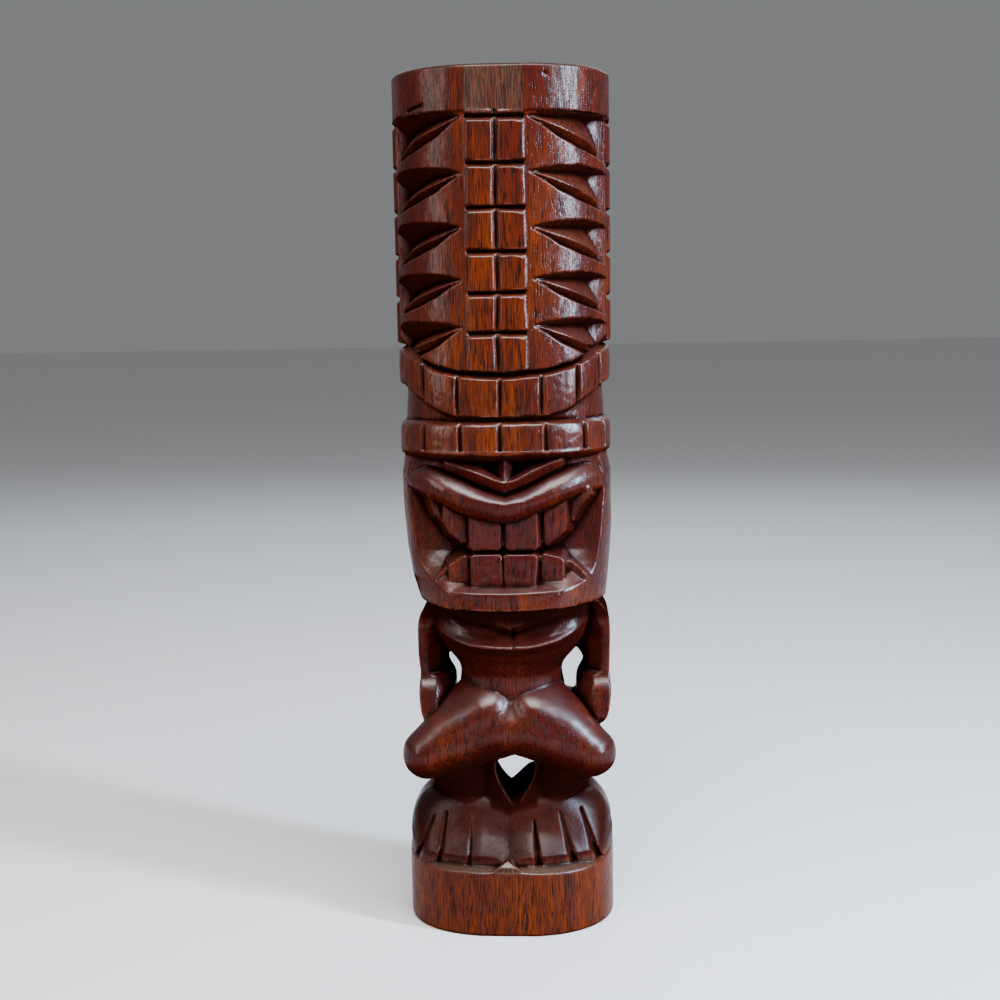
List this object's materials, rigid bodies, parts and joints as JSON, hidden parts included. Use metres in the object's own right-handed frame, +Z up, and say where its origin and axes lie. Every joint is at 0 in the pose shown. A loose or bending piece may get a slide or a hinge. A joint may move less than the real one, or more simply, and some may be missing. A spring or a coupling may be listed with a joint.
{
  "type": "tiki figure",
  "caption": "Free-standing carved wooden tiki: a tall notched headdress over a wide toothed face, a squatting body with arms at its sides, and broad feet on an oval plinth",
  "frame": {"origin": "centre of the underside of the plinth", "axes": "+Z up along the log, the face looks along -Y, +X is to the right of a viewer facing it"},
  "size_m": [0.1034, 0.093, 0.406],
  "materials": {
    "stained_wood": "reddish-brown stained hardwood under glossy varnish"
  },
  "bodies": {
    "root": {"base_plinth": "stained_wood", "left_foot": "stained_wood", "right_foot": "stained_wood", "left_calf": "stained_wood", "right_calf": "stained_wood", "left_thigh": "stained_wood", "right_thigh": "stained_wood", "abdomen": "stained_wood", "chest": "stained_wood", "left_upper_arm": "stained_wood", "right_upper_arm": "stained_wood", "left_forearm": "stained_wood", "right_forearm": "stained_wood", "head": "stained_wood", "left_cheek": "stained_wood", "right_cheek": "stained_wood", "lower_lip": "stained_wood", "lower_teeth": "stained_wood", "upper_teeth": "stained_wood", "upper_lip": "stained_wood", "brow": "stained_wood", "nose": "stained_wood", "lower_headband": "stained_wood", "upper_headband": "stained_wood", "headdress": "stained_wood", "front_tiles": "stained_wood", "back_tiles": "stained_wood", "left_tiles": "stained_wood", "right_tiles": "stained_wood", "crown_rim": "stained_wood"}
  },
  "joints": []
}
